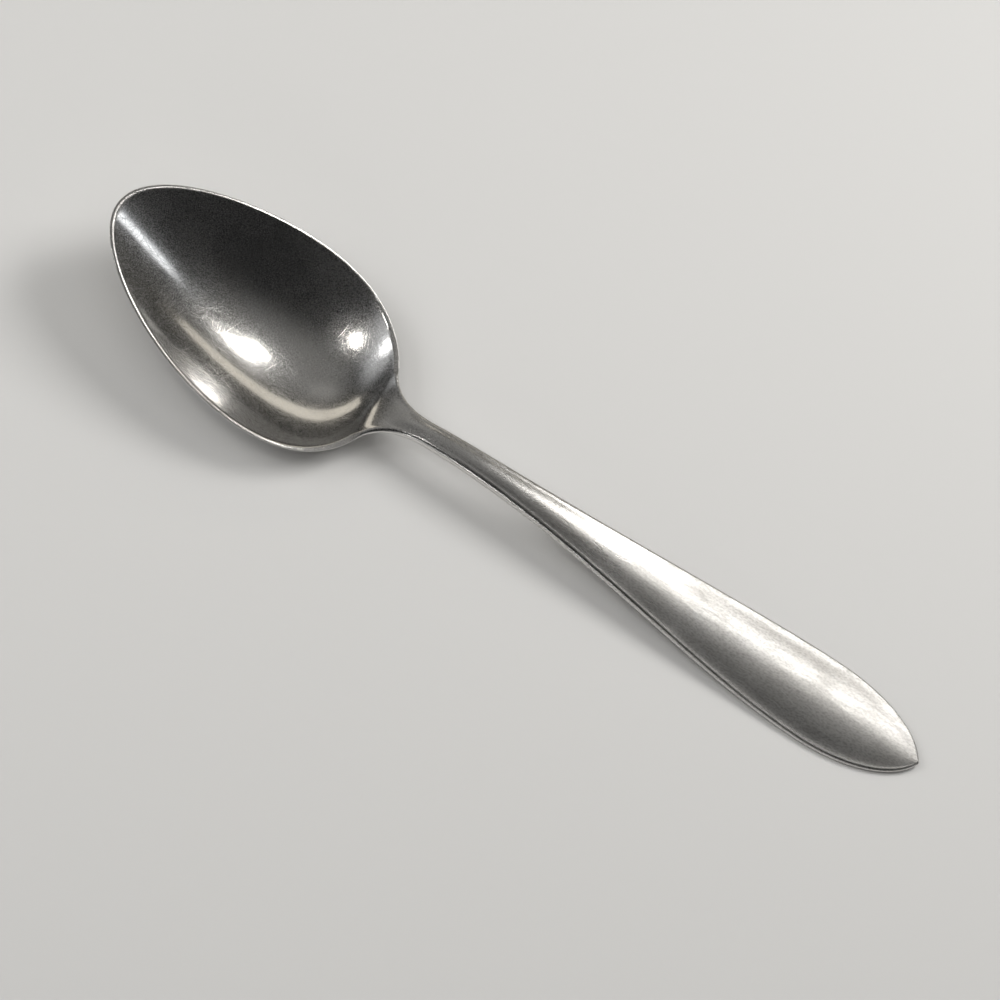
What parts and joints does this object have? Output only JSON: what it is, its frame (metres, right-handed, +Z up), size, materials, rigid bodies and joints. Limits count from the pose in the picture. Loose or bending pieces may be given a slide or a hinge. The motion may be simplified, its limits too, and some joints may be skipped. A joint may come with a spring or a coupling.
{
  "type": "table spoon",
  "caption": "One-piece metal table spoon with a pointed egg-shaped bowl, a slim neck and a drop-shaped handle that comes to a point.",
  "frame": {"origin": "middle of the spoon's length and width, on the table that it lies on", "axes": "+X along the spoon from the bowl to the end of the handle, +Z up from the table"},
  "size_m": [0.205, 0.0468, 0.0205],
  "materials": {
    "steel": "polished, with fine wear scratches"
  },
  "bodies": {
    "root": {"spoon": "steel"}
  },
  "joints": []
}
